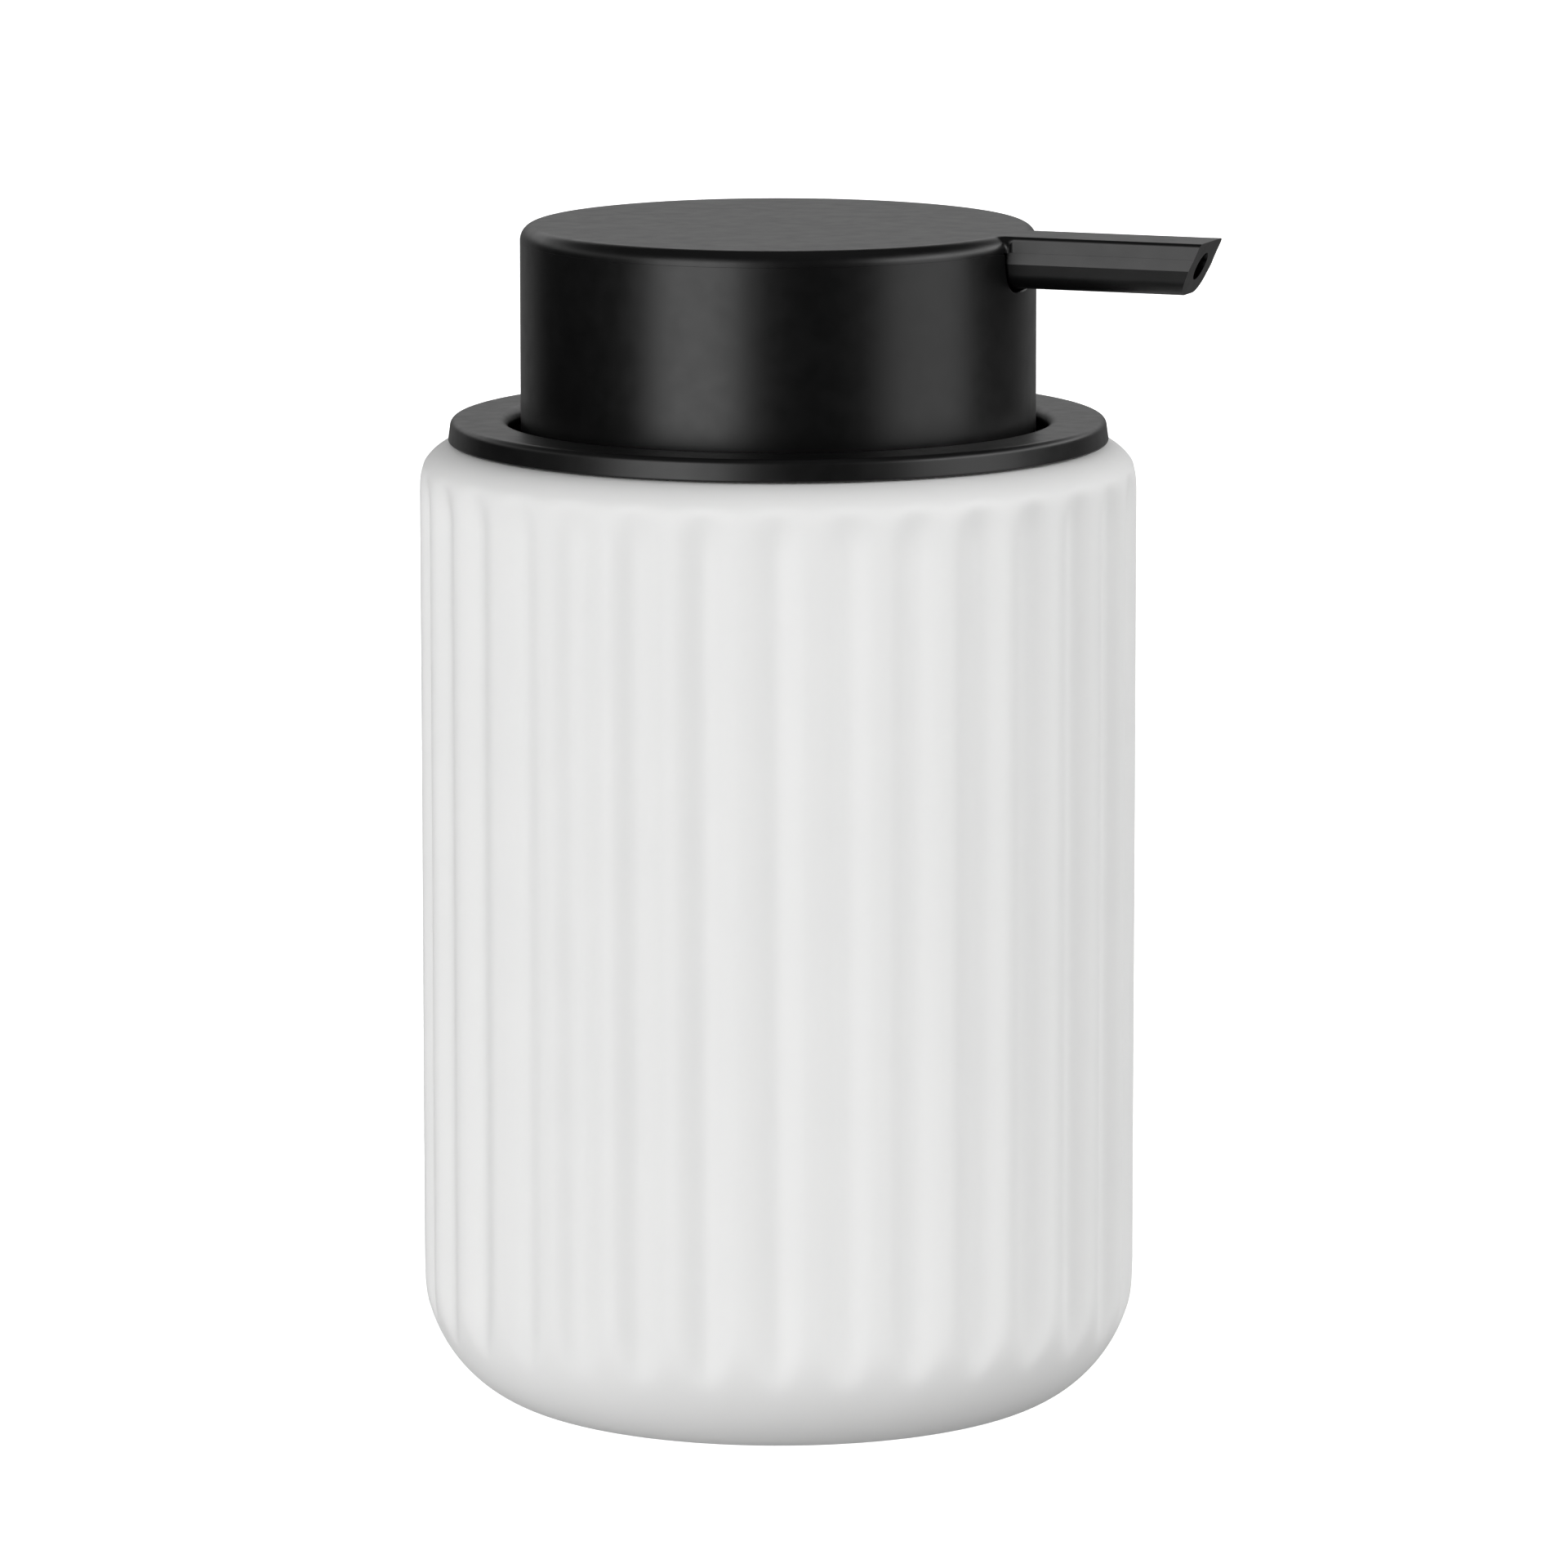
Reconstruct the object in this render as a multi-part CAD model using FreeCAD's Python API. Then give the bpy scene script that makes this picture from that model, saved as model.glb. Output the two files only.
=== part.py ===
import FreeCAD, Part
import math
import os

V = FreeCAD.Vector
os.makedirs("parts", exist_ok=True)

# Soap pump dispenser. Millimetres. The origin is the centre of the base on the
# resting plane, +Z is up, and the spout points along +X.

# ---- driving dimensions -------------------------------------------------
# ceramic bottle
R_BODY = 40.0            # crest radius of the flutes
N_FLUTE = 32
FLUTE_DEPTH = 1.1        # crest to valley
FLUTE_PHASE = 4.6        # degrees from +X to the nearest crest
Z_FOOT = 0.3             # underside of the ceramic, above the pad's face
R_FOOT = 28.7            # flat of the base
Z_ROUND = 16.8           # top of the base rounding
Z_RIM = 108.2            # top of the ceramic rim
R_SHOULDER = 35.0        # where the shoulder rounding starts on the rim
R_CAV = 35.2             # inside wall
Z_FLOOR = 6.0            # inside floor
CAV_FILLET = 12.0
R_MOUTH = 33.5           # mouth bore
Z_MOUTH_LIP = 96.0       # underside of the mouth's inner lip

# non-slip pad
R_PAD = 25.0
T_PAD = 1.3

# collar ring
R_RING = 36.75
R_RING_TOP = 36.4
T_RING = 2.5
R_RING_HOLE = 30.0
LIP_FILLET = 1.25

# carrier
R_CUP = 32.2
R_CUP_IN = 30.9
R_CUP_FLANGE = 34.1
T_CUP_FLANGE = 1.0
Z_CUP_BOTTOM = 92.0
T_CUP_FLOOR = 2.0
Z_NECK = 103.0
R_NECK = 12.4
R_NECK_BORE = 8.2

# head
STROKE = 12.0
R_HEAD = 28.65
Z_TOP = 132.3
T_PLATE = 1.75
HEAD_FILLET = 1.7
R_SLEEVE_IN = 27.0
Z_SLEEVE = 107.0
SPOUT_W = 7.6
SPOUT_H = 5.9
SPOUT_FLANK = 3.0        # depth of the crease along the flanks, where the spout is widest
SPOUT_DRAFT = 0.45       # the flanks lean in by this much below the crease
SPOUT_CORNER = 1.8
SPOUT_REACH = 50.8
SPOUT_CUT = 2.7          # the top overhangs the underside by this much
SPOUT_BORE = 1.5
SPOUT_BORE_DROP = 2.8
NOTCH_GAP = 0.4
Z_HUB = 120.4

# pump
R_STEM = 4.0
R_BARREL = 7.4
R_BORE = 6.0
Z_FLANGE = 103.6
T_FLANGE = 1.4
Z_BARREL_SEAT = 60.0
Z_BALL_SEAT = 53.4
Z_SOCKET = 50.0
R_TUBE = 3.0
R_TUBE_IN = 2.0
Z_TUBE = 9.0
Z_SPRING_TOP = 91.0

Z_RING_TOP = Z_RIM + T_RING
Z_CUP_FLOOR = Z_CUP_BOTTOM + T_CUP_FLOOR
Z_PLATE = Z_TOP - T_PLATE
Z_SPOUT = Z_TOP - SPOUT_H


# ---- helpers -------------------------------------------------------------
def in_xz(a, b):
    return V(a, 0, b)


def profile(points, place=in_xz):
    """Closed wire in a plane, the XZ plane unless told otherwise. A point is (r, z) or (r, z, fillet)."""
    n = len(points)
    segs = []
    starts = []
    for i in range(n):
        p = points[i]
        c = place(p[0], p[1])
        f = p[2] if len(p) > 2 else 0.0
        if f <= 0:
            starts.append((c, c, None))
            continue
        a = place(points[i - 1][0], points[i - 1][1])
        b = place(points[(i + 1) % n][0], points[(i + 1) % n][1])
        u = (a - c).normalize()
        w = (b - c).normalize()
        half = 0.5 * u.getAngle(w)
        t = f / math.tan(half)
        bis = (u + w).normalize()
        centre = c + bis * (f / math.sin(half))
        starts.append((c + u * t, c + w * t, centre - bis * f))
    for i in range(n):
        a, b, mid = starts[i]
        if mid is not None:
            segs.append(Part.Arc(a, mid, b).toShape())
        nxt = starts[(i + 1) % n][0]
        if (nxt - b).Length > 1e-7:
            segs.append(Part.LineSegment(b, nxt).toShape())
    return Part.Wire(segs)


def turned(points):
    return Part.Face(profile(points)).revolve(V(0, 0, 0), V(0, 0, 1), 360)


def solid(shape):
    shape = shape.removeSplitter()
    if shape.ShapeType != "Solid" and len(shape.Solids) == 1:
        shape = shape.Solids[0]
    return shape


def box(x0, x1, y0, y1, z0, z1):
    return Part.makeBox(x1 - x0, y1 - y0, z1 - z0, V(x0, y0, z0))


def rod(r, z0, z1, x=0.0, y=0.0):
    return Part.makeCylinder(r, z1 - z0, V(x, y, z0), V(0, 0, 1))


def save(name, shape):
    shape = solid(shape)
    if not shape.isValid() or len(shape.Solids) != 1:
        raise RuntimeError("%s: valid %s, solids %d" % (name, shape.isValid(), len(shape.Solids)))
    shape.exportStep("parts/%s.step" % name)
    b = shape.BoundBox
    print("%-16s vol %10.2f  x %.2f..%.2f y %.2f..%.2f z %.2f..%.2f" % (
        name, shape.Volume, b.XMin, b.XMax, b.YMin, b.YMax, b.ZMin, b.ZMax))
    return shape


# ---- ceramic bottle --------------------------------------------------------
# The flutes are upright waves of two tangent arcs, crest and valley. The shoulder and
# the rounded base are turned surfaces that cut them off in pointed ends.
def flute_radius():
    """Arc radius that makes crest and valley arcs meet tangentially."""
    half = math.pi / N_FLUTE
    lo, hi = 1.0, 12.0
    for _ in range(80):
        r = 0.5 * (lo + hi)
        p, q = R_BODY - r, R_BODY - FLUTE_DEPTH + r
        gap = math.sqrt(p * p + q * q - 2 * p * q * math.cos(half)) - 2 * r
        if gap > 0:
            lo = r
        else:
            hi = r
    return 0.5 * (lo + hi)


def polar(r, a, z=0.0):
    return V(r * math.cos(a), r * math.sin(a), z)


r_arc = flute_radius()
half = math.pi / N_FLUTE
joints_pts = []
for i in range(2 * N_FLUTE):
    a = math.radians(FLUTE_PHASE) + i * half
    ca = polar(R_BODY - r_arc, a) if i % 2 == 0 else polar(R_BODY - FLUTE_DEPTH + r_arc, a)
    cb = polar(R_BODY - FLUTE_DEPTH + r_arc, a + half) if i % 2 == 0 else polar(R_BODY - r_arc, a + half)
    joints_pts.append((ca + cb) * 0.5)
arcs = []
for i in range(2 * N_FLUTE):
    a = math.radians(FLUTE_PHASE) + i * half
    mid = polar(R_BODY if i % 2 == 0 else R_BODY - FLUTE_DEPTH, a)
    arcs.append(Part.Arc(joints_pts[i - 1], mid, joints_pts[i]).toShape())
wave = Part.Face(Part.Wire(arcs))
wave.translate(V(0, 0, Z_FOOT - 2))
prism = wave.extrude(V(0, 0, Z_RIM + 4 - Z_FOOT))

R_ENV = R_BODY + 0.3
base_curve = Part.BezierCurve()
base_curve.setPoles([V(R_FOOT, 0, Z_FOOT), V(32.0, 0, Z_FOOT), V(R_ENV, 0, 5.1), V(R_ENV, 0, Z_ROUND)])
fs = R_ENV - R_SHOULDER
ck = math.sqrt(0.5)
env = Part.Wire([
    Part.LineSegment(V(0, 0, Z_FOOT), V(R_FOOT, 0, Z_FOOT)).toShape(),
    base_curve.toShape(),
    Part.LineSegment(V(R_ENV, 0, Z_ROUND), V(R_ENV, 0, Z_RIM - fs)).toShape(),
    Part.Arc(V(R_ENV, 0, Z_RIM - fs), V(R_SHOULDER + fs * ck, 0, Z_RIM - fs + fs * ck), V(R_SHOULDER, 0, Z_RIM)).toShape(),
    Part.LineSegment(V(R_SHOULDER, 0, Z_RIM), V(0, 0, Z_RIM)).toShape(),
    Part.LineSegment(V(0, 0, Z_RIM), V(0, 0, Z_FOOT)).toShape()])
shell = prism.common(Part.Face(env).revolve(V(0, 0, 0), V(0, 0, 1), 360))
cavity = turned([(0, Z_FLOOR), (R_CAV, Z_FLOOR, CAV_FILLET), (R_CAV, Z_MOUTH_LIP - 3.0, 1.5),
                 (R_MOUTH, Z_MOUTH_LIP, 1.5), (R_MOUTH, Z_RIM + 5), (0, Z_RIM + 5)])
recess = rod(R_PAD + 0.1, -1.0, T_PAD)
save("ceramic_body", shell.cut(cavity).cut(recess))

# non-slip pad, let into the base and standing proud of it
save("base_pad", turned([(0, 0), (R_PAD, 0, 0.25), (R_PAD, T_PAD), (0, T_PAD)]))

# ---- collar --------------------------------------------------------------
save("collar_ring", turned([
    (R_CUP_FLANGE + 0.1, Z_RIM), (R_RING, Z_RIM, 0.2), (R_RING_TOP, Z_RING_TOP, 0.7),
    (R_RING_HOLE, Z_RING_TOP, LIP_FILLET), (R_RING_HOLE, Z_RIM + T_CUP_FLANGE),
    (R_CUP_FLANGE + 0.1, Z_RIM + T_CUP_FLANGE)]))

cup = turned([
    (R_NECK_BORE, Z_CUP_BOTTOM), (R_CUP, Z_CUP_BOTTOM, 1.2), (R_CUP, Z_RIM), (R_CUP_FLANGE, Z_RIM),
    (R_CUP_FLANGE, Z_RIM + T_CUP_FLANGE), (R_CUP_IN, Z_RIM + T_CUP_FLANGE), (R_CUP_IN, Z_CUP_FLOOR, 0.6),
    (R_NECK, Z_CUP_FLOOR), (R_NECK, 96.0), (R_NECK + 0.7, 96.4), (R_NECK + 0.7, 97.0), (R_NECK, 97.4),
    (R_NECK, 99.2), (R_NECK + 0.7, 99.6), (R_NECK + 0.7, 100.2), (R_NECK, 100.6),
    (R_NECK, Z_NECK), (R_NECK_BORE, Z_NECK)])
save("well_cup", cup)

# silicone sleeve with three ribs
g = [(R_CUP, 96.6), (R_CUP + 0.7, 96.6)]
for zr in (98.4, 101.8, 105.2):
    g += [(R_CUP + 0.7, zr - 0.7), (R_MOUTH - 0.05, zr - 0.25), (R_MOUTH - 0.05, zr + 0.25), (R_CUP + 0.7, zr + 0.7)]
g += [(R_CUP + 0.7, 107.4), (R_CUP, 107.4)]
save("mouth_gasket", turned(g))

# ---- closure ---------------------------------------------------------------
nut = turned([
    (7.4, 106.4), (7.4, 107.8), (15.4, 107.8, 0.8), (15.4, 94.6), (R_NECK + 0.85, 94.6), (R_NECK + 0.85, 106.4)])
ribs = []
for i in range(36):
    a = 2 * math.pi * i / 36
    ribs.append(Part.makeCylinder(0.45, 11.2, V(15.4 * math.cos(a), 15.4 * math.sin(a), 94.6), V(0, 0, 1)))
save("closure_nut", nut.fuse(ribs))

save("housing_gasket", turned([(R_NECK_BORE, Z_NECK), (11.0, Z_NECK), (11.0, Z_FLANGE), (R_NECK_BORE, Z_FLANGE)]))

# ---- pump housing ------------------------------------------------------------
zs = Z_BALL_SEAT
save("pump_housing", turned([
    (1.5, Z_SOCKET), (1.5, zs), (3.4, zs + 1.9), (3.4, Z_BARREL_SEAT), (R_BORE, Z_BARREL_SEAT),
    (R_BORE, Z_FLANGE + T_FLANGE), (11.0, Z_FLANGE + T_FLANGE), (11.0, Z_FLANGE), (R_BARREL, Z_FLANGE),
    (R_BARREL, Z_BARREL_SEAT - 1.0), (5.0, Z_BARREL_SEAT - 4.0), (5.0, zs - 2.0), (4.3, zs - 4.0),
    (4.3, Z_SOCKET - 8.0), (R_TUBE, Z_SOCKET - 8.0), (R_TUBE, Z_SOCKET)]))

tube = rod(R_TUBE, Z_TUBE - 2, Z_SOCKET).cut(rod(R_TUBE_IN, Z_TUBE - 3, Z_SOCKET + 1))
wedge = Part.Face(Part.makePolygon([V(-6, -6, Z_TUBE - 6), V(6, -6, Z_TUBE - 6), V(6, -6, Z_TUBE + 4.5),
                                    V(-3.0, -6, Z_TUBE), V(-6, -6, Z_TUBE), V(-6, -6, Z_TUBE - 6)])).extrude(V(0, 12, 0))
save("dip_tube", tube.cut(wedge))

# cage over the lower ball: a ring with a cross bar and a stop pin
cage = rod(R_BORE, Z_BARREL_SEAT, Z_BARREL_SEAT + 1.2).cut(rod(3.4, Z_BARREL_SEAT - 1, Z_BARREL_SEAT + 3))
cage = cage.fuse(box(-4.0, 4.0, -0.9, 0.9, Z_BARREL_SEAT, Z_BARREL_SEAT + 1.2)).fuse(
    rod(0.9, Z_BARREL_SEAT - 0.75, Z_BARREL_SEAT + 0.5))
save("valve_cage", cage)

BALL1 = 2.4
zb1 = zs + (BALL1 * math.sin(math.pi / 4) - 1.5) + BALL1 * math.cos(math.pi / 4) + 0.03
save("lower_ball", Part.makeSphere(BALL1, V(0, 0, zb1)))

# ---- return spring -------------------------------------------------------------
WIRE = 0.5
R_COIL = 4.7
z0 = Z_BARREL_SEAT + 1.2
z1 = Z_SPRING_TOP
turns = 8.0
height = z1 - z0 - 2 * WIRE - 0.04
helix = Part.makeHelix(height / turns, height, R_COIL)
helix.translate(V(0, 0, z0 + WIRE + 0.02))
circle = Part.Wire(Part.Circle(V(R_COIL, 0, z0 + WIRE + 0.02), V(0, 1, 0), WIRE).toShape())
spring = Part.Wire(helix).makePipeShell([circle], True, True)
if spring.ShapeType != "Solid":
    spring = Part.Solid(spring.Shells[0]) if spring.Shells else Part.Solid(Part.Shell(spring.Faces))
if spring.Volume < 0:
    spring.reverse()
save("return_spring", spring)

# ---- plunger ---------------------------------------------------------------------
zr = Z_SPRING_TOP
save("piston_rod", turned([
    (1.2, zr), (5.3, zr), (5.3, zr + 1.5), (R_TUBE, zr + 1.5), (R_TUBE, zr + 10.5), (2.1, zr + 10.5),
    (1.2, zr + 9.6)]))
save("piston_seal", turned([
    (R_TUBE, zr + 1.5), (5.2, zr + 1.5), (R_BORE - 0.05, zr + 1.9), (R_BORE - 0.05, zr + 2.5), (5.0, zr + 3.1),
    (5.0, zr + 4.6), (R_BORE - 0.05, zr + 5.2), (R_BORE - 0.05, zr + 5.8), (5.2, zr + 6.0), (R_TUBE, zr + 6.0)]))

BALL2 = 2.0
zb2 = zr + 9.6 + (BALL2 * math.sin(math.pi / 4) - 1.2) + BALL2 * math.cos(math.pi / 4) + 0.03
save("upper_ball", Part.makeSphere(BALL2, V(0, 0, zb2)))

# ---- stem --------------------------------------------------------------------------
stem = turned([
    (R_TUBE + 0.06, zr + 6.3), (R_STEM, zr + 6.3), (R_STEM, Z_SPOUT), (1.9, Z_SPOUT), (1.9, zr + 14.9),
    (2.6, zr + 14.6), (2.6, zr + 10.8), (R_TUBE + 0.06, zr + 10.8)])
for a in (0, 90):
    slot = box(-2.6, 2.6, -0.5, 0.5, zr + 14.0, zr + 16.6)
    slot.rotate(V(0, 0, 0), V(0, 0, 1), a)
    stem = stem.cut(slot)
save("stem", stem)

# ---- chaplet and its wiper seal ------------------------------------------------------
save("chaplet", turned([
    (R_STEM + 0.08, zr + 6.35), (R_BORE, zr + 6.35), (R_BORE, 105.0), (10.9, 105.0), (10.9, 106.4), (7.3, 106.4),
    (6.6, 107.4), (R_STEM + 0.08, 107.4), (R_STEM + 0.08, 103.2), (5.0, 103.2), (5.0, 101.2), (R_STEM + 0.08, 101.2)]))
save("stem_seal", turned([(R_STEM + 0.03, 101.2), (5.0, 101.2), (5.0, 103.2), (R_STEM + 0.03, 103.2)]))


# ---- head --------------------------------------------------------------------------
def spout_section(x, grow=0.0, top_round=0.5, up=0.0):
    """Section in the YZ plane: flat top, flanks with a crease, and an underside with rounded corners."""
    wt, wc, wb = SPOUT_W / 2 - 0.08 + grow, SPOUT_W / 2 + grow, SPOUT_W / 2 - SPOUT_DRAFT + grow
    zt, zm, zb = Z_TOP + up, Z_TOP - SPOUT_FLANK, Z_SPOUT - grow
    return Part.Face(profile([
        (wt, zt, top_round), (wc, zm), (wb, zb, SPOUT_CORNER + grow), (-wb, zb, SPOUT_CORNER + grow), (-wc, zm),
        (-wt, zt, top_round)], lambda a, b: V(x, a, b)))


INNER_END = -6.5
bar = spout_section(INNER_END).extrude(V(SPOUT_REACH + 3 - INNER_END, 0, 0))
cut = Part.Face(Part.makePolygon([
    V(SPOUT_REACH, -10, Z_TOP), V(SPOUT_REACH + 1.0, -10, Z_TOP + 3), V(SPOUT_REACH + 12, -10, Z_TOP + 3),
    V(SPOUT_REACH + 12, -10, Z_SPOUT - 3), V(SPOUT_REACH - SPOUT_CUT * (SPOUT_H + 3) / SPOUT_H, -10, Z_SPOUT - 3),
    V(SPOUT_REACH, -10, Z_TOP)])).extrude(V(0, 20, 0))
bar = bar.cut(cut)
edges = [e for e in bar.Edges if e.BoundBox.XMin > SPOUT_REACH - SPOUT_CUT - 0.5 and e.BoundBox.XMax < SPOUT_REACH + 0.1
         and e.BoundBox.YLength > 0.01 or (e.BoundBox.XMin > SPOUT_REACH - SPOUT_CUT - 0.5 and e.BoundBox.ZLength > 1.5)]
try:
    bar2 = bar.makeFillet(0.25, edges)
    if bar2.isValid() and bar2.Volume > 0.9 * bar.Volume:
        bar = bar2
except Exception as err:
    print("spout end left sharp:", err)
plate = turned([(0, Z_PLATE), (R_HEAD, Z_PLATE), (R_HEAD, Z_TOP, HEAD_FILLET), (0, Z_TOP)])
zc = Z_TOP - SPOUT_BORE_DROP
channel = Part.makeCylinder(SPOUT_BORE, SPOUT_REACH + 10, V(-1.0, 0, zc), V(1, 0, 0))
inlet = rod(1.9, Z_SPOUT - 1, zc)
save("head_top", plate.fuse(bar).cut(channel).cut(inlet))

sleeve = turned([
    (R_SLEEVE_IN, Z_SLEEVE), (R_HEAD, Z_SLEEVE, 0.4), (R_HEAD, Z_PLATE), (R_SLEEVE_IN, Z_PLATE)])
notch = spout_section(20.0, NOTCH_GAP, 0.0, 3.0).extrude(V(15, 0, 0))
save("head_sleeve", sleeve.cut(notch))

hub = rod(7.0, Z_HUB, Z_PLATE)
rim = rod(R_SLEEVE_IN, 126.6, Z_PLATE).cut(rod(24.6, 120, 140))
core = hub.fuse(rim)
for i in range(6):
    web = box(5.0, 25.5, -0.9, 0.9, 125.0, Z_PLATE)
    web.rotate(V(0, 0, 0), V(0, 0, 1), 30 + 60 * i)
    core = core.fuse(web)
core = core.cut(rod(R_STEM, Z_HUB - 1, Z_SPOUT)).cut(
    spout_section(-6.5, 0.0, 0.5).extrude(V(60, 0, 0))).cut(box(-6.5, 40, -SPOUT_W / 2, SPOUT_W / 2, Z_TOP - 2.5, Z_TOP + 1))
save("head_core", core)
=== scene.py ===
import math

import bmesh
import bpy
from mathutils import Matrix, Vector, noise


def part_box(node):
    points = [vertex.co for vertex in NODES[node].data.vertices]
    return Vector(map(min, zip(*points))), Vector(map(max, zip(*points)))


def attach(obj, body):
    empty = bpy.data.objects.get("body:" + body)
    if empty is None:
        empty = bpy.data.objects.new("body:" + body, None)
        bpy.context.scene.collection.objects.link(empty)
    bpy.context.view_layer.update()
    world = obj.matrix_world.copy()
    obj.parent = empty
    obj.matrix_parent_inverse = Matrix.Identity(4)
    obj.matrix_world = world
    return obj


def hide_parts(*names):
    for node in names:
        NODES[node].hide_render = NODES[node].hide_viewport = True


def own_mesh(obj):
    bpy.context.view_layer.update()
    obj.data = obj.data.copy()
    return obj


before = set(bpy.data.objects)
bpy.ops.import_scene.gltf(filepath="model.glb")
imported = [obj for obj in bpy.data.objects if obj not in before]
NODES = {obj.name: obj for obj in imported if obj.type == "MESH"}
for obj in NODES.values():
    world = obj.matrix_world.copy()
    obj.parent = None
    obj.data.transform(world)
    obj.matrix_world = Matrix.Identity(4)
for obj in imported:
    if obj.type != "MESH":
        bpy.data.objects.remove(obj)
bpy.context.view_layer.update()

MM = 0.001

# ---------------------------------------------------------------- sizes, in millimetres, from the frame
def node_mm(name):
    lo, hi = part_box(name)
    return [c * 1000 for c in lo], [c * 1000 for c in hi]


body_lo, body_hi = node_mm("ceramic_body")
ring_lo, ring_hi = node_mm("collar_ring")
top_lo, top_hi = node_mm("head_top")
slv_lo, slv_hi = node_mm("head_sleeve")
cup_lo, cup_hi = node_mm("well_cup")

R_BODY = 40.0
FLUTES = 32
DEPTH = 1.1
PHASE = math.radians(3.7)
Z_FOOT = body_lo[2]
Z_RIM = body_hi[2]
R_ENV = 40.3
R_SHOULDER = 35.0
R_HEAD = slv_hi[1]
Z_TOP = top_hi[2]
Z_PLATE = slv_hi[2]
Z_SLEEVE = slv_lo[2]
REACH = top_hi[0]
SPOUT_W, SPOUT_H, FLANK, CUT = 7.6, 5.9, 3.0, 2.7
DRAFT, CORNER, CREASE = 0.75, 2.3, 0.08
HEAD_ROUND, SPOUT_ROUND = 1.7, 0.5
BORE, BORE_DROP = 1.5, 2.8


# ---------------------------------------------------------------- mesh helpers
def new_object(name, verts, faces, sharp=30.0):
    me = bpy.data.meshes.new(name)
    me.from_pydata([tuple(c * MM for c in v) for v in verts], [], faces)
    me.validate()
    ob = bpy.data.objects.new(name, me)
    bpy.context.scene.collection.objects.link(ob)
    shade(ob, sharp)
    return ob


def shade(ob, sharp=30.0):
    """Smooth faces, with the edges that turn more than sharp degrees left crisp."""
    bm = bmesh.new()
    bm.from_mesh(ob.data)
    bmesh.ops.recalc_face_normals(bm, faces=bm.faces)
    limit = math.radians(sharp)
    for f in bm.faces:
        f.smooth = True
    for e in bm.edges:
        e.smooth = not (len(e.link_faces) == 2 and e.calc_face_angle(0.0) > limit)
    bm.to_mesh(ob.data)
    bm.free()
    ob.data.update()


def rounded(points, closed=True, step=9.0, support=0.12):
    """A polyline of (r, z) with each corner (r, z, radius) turned into an arc, with a support point beside it."""
    out = []
    n = len(points)
    for i, p in enumerate(points):
        c = Vector((p[0], p[1]))
        rad = p[2] if len(p) > 2 else 0.0
        if rad <= 0 or (not closed and i in (0, n - 1)):
            out.append((c.x, c.y))
            continue
        a = Vector(points[i - 1][:2])
        b = Vector(points[(i + 1) % n][:2])
        u = (a - c).normalized()
        w = (b - c).normalized()
        ang = u.angle(w)
        t = rad / math.tan(ang / 2)
        centre = c + (u + w).normalized() * (rad / math.sin(ang / 2))
        s, e = c + u * t, c + w * t
        s0, e0 = s - centre, e - centre
        turn = math.pi - ang
        k = max(2, int(math.ceil(math.degrees(turn) / step)))
        sign = 1 if s0.x * e0.y - s0.y * e0.x > 0 else -1
        if (a - s).length > support * 2:
            out.append(tuple(s + u * support))
        for j in range(k + 1):
            q = sign * turn * j / k
            d = Vector((s0.x * math.cos(q) - s0.y * math.sin(q), s0.x * math.sin(q) + s0.y * math.cos(q)))
            out.append(tuple(centre + d))
        if (b - e).length > support * 2:
            out.append(tuple(e + w * support))
    return out


def lathe(name, prof, seg=256, closed=True, radius=None, sharp=30.0):
    """Turns an (r, z) polyline about Z. radius(i, r, z, angle) can change a point's radius."""
    verts, rows = [], []
    for i, (r, z) in enumerate(prof):
        if r < 1e-6:
            verts.append((0.0, 0.0, z))
            rows.append([len(verts) - 1])
            continue
        row = []
        for k in range(seg):
            a = 2 * math.pi * k / seg
            q = radius(i, r, z, a) if radius else r
            verts.append((q * math.cos(a), q * math.sin(a), z))
            row.append(len(verts) - 1)
        rows.append(row)
    faces = []
    last = len(rows) if closed else len(rows) - 1
    for i in range(last):
        a, b = rows[i], rows[(i + 1) % len(rows)]
        if len(a) == 1 and len(b) == 1:
            continue
        for k in range(seg):
            k2 = (k + 1) % seg
            if len(a) == 1:
                faces.append((a[0], b[k2], b[k]))
            elif len(b) == 1:
                faces.append((a[k], a[k2], b[0]))
            else:
                faces.append((a[k], a[k2], b[k2], b[k]))
    return new_object(name, verts, faces, sharp)


def apply_modifiers(ob):
    bpy.context.view_layer.update()
    dg = bpy.context.evaluated_depsgraph_get()
    me = bpy.data.meshes.new_from_object(ob.evaluated_get(dg))
    old = ob.data
    ob.modifiers.clear()
    ob.data = me
    bpy.data.meshes.remove(old)


def boolean(ob, other, op):
    m = ob.modifiers.new("b", "BOOLEAN")
    m.operation = op
    m.solver = "EXACT"
    m.object = other
    apply_modifiers(ob)
    bpy.data.objects.remove(other)


# ---------------------------------------------------------------- the bottle
def soft_min(a, b, k):
    h = max(0.0, min(1.0, 0.5 + 0.5 * (b - a) / k))
    return b * (1 - h) + a * h - k * h * (1 - h)


def base_curve(t):
    p = ((28.7, Z_FOOT), (32.0, Z_FOOT), (R_ENV, 5.1), (R_ENV, 16.8))
    c = ((1 - t) ** 3, 3 * (1 - t) ** 2 * t, 3 * (1 - t) * t * t, t ** 3)
    return sum(k * q[0] for k, q in zip(c, p)), sum(k * q[1] for k, q in zip(c, p))


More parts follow.
